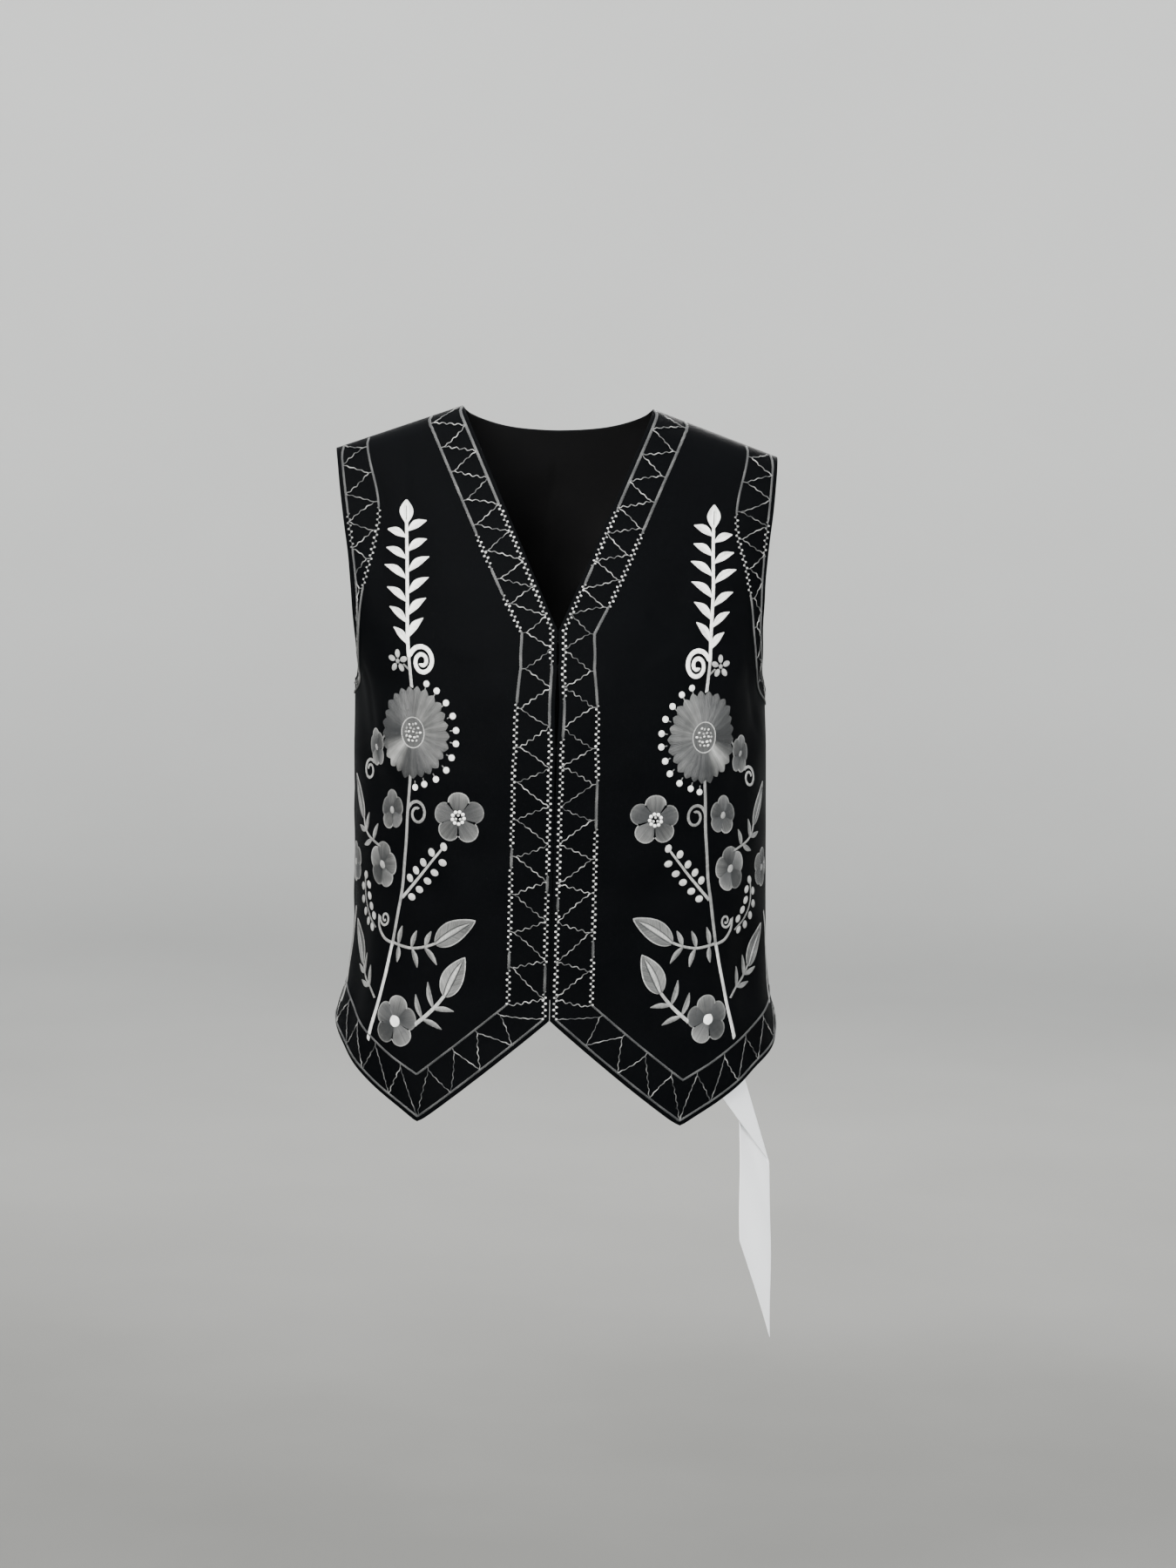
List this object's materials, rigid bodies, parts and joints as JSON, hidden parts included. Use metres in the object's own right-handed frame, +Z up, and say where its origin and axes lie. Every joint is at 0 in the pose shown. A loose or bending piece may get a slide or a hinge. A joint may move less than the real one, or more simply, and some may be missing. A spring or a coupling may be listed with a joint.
{
  "type": "embroidered V-neck waistcoat",
  "caption": "Worn sleeveless V-neck waistcoat in black embroidered cloth, with pointed fronts closed edge to edge by hooks and eyes.",
  "frame": {"origin": "between the shoulders, level with the neck ends of the shoulder seams, where the wearer's shoulders hold the garment", "axes": "+Z up, the fronts face -Y, +X is the wearer's left"},
  "size_m": [0.3749, 0.2363, 0.7724],
  "materials": {
    "embroidered_cloth": "near-black woven cloth with a soft sheen",
    "hook_metal": "black lacquered wire",
    "white_satin": "white satin ribbon"
  },
  "bodies": {
    "root": {"front_left": "embroidered_cloth", "front_right": "embroidered_cloth", "back": "embroidered_cloth", "hook_1": "hook_metal", "hook_2": "hook_metal", "hook_3": "hook_metal", "hook_4": "hook_metal", "hook_5": "hook_metal", "hook_6": "hook_metal", "eye_1": "hook_metal", "eye_2": "hook_metal", "eye_3": "hook_metal", "eye_4": "hook_metal", "eye_5": "hook_metal", "eye_6": "hook_metal", "care_label": "white_satin"}
  },
  "joints": []
}
